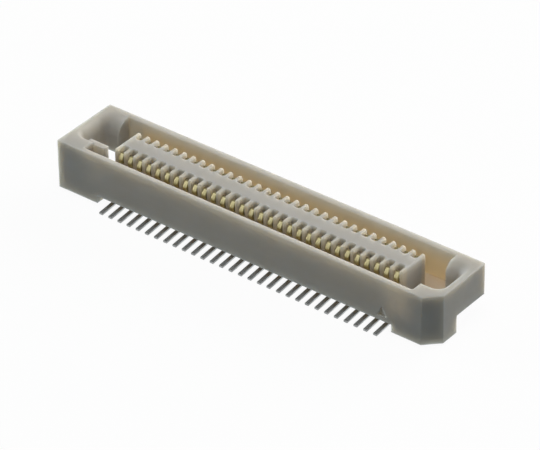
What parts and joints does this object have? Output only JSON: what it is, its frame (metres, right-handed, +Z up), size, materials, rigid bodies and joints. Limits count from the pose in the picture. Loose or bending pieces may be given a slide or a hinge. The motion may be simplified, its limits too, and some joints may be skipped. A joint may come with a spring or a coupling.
{
  "type": "board to board connector",
  "caption": "Surface mount board to board connector: a long moulded shroud with a centre tongue, two rows of gold contacts, guide pockets at both ends and a cut corner.",
  "frame": {"origin": "on the board, under the middle of the housing, level with the underside of the tails", "axes": "+X along the contact rows, +Y from the row with the cut corner to the other row, +Z up from the board to the mating side"},
  "size_m": [0.0238, 0.0054, 0.003],
  "materials": {
    "housing": "moulded liquid crystal polymer, satin, slightly translucent",
    "contact": "gold plate on phosphor bronze, tin plated tails"
  },
  "bodies": {
    "root": {"housing": "housing", "contact_front_01": "contact", "contact_front_02": "contact", "contact_front_03": "contact", "contact_front_04": "contact", "contact_front_05": "contact", "contact_front_06": "contact", "contact_front_07": "contact", "contact_front_08": "contact", "contact_front_09": "contact", "contact_front_10": "contact", "contact_front_11": "contact", "contact_front_12": "contact", "contact_front_13": "contact", "contact_front_14": "contact", "contact_front_15": "contact", "contact_front_16": "contact", "contact_front_17": "contact", "contact_front_18": "contact", "contact_front_19": "contact", "contact_front_20": "contact", "contact_front_21": "contact", "contact_front_22": "contact", "contact_front_23": "contact", "contact_front_24": "contact", "contact_front_25": "contact", "contact_front_26": "contact", "contact_front_27": "contact", "contact_front_28": "contact", "contact_front_29": "contact", "contact_front_30": "contact", "contact_back_01": "contact", "contact_back_02": "contact", "contact_back_03": "contact", "contact_back_04": "contact", "contact_back_05": "contact", "contact_back_06": "contact", "contact_back_07": "contact", "contact_back_08": "contact", "contact_back_09": "contact", "contact_back_10": "contact", "contact_back_11": "contact", "contact_back_12": "contact", "contact_back_13": "contact", "contact_back_14": "contact", "contact_back_15": "contact", "contact_back_16": "contact", "contact_back_17": "contact", "contact_back_18": "contact", "contact_back_19": "contact", "contact_back_20": "contact", "contact_back_21": "contact", "contact_back_22": "contact", "contact_back_23": "contact", "contact_back_24": "contact", "contact_back_25": "contact", "contact_back_26": "contact", "contact_back_27": "contact", "contact_back_28": "contact", "contact_back_29": "contact"}
  },
  "joints": []
}
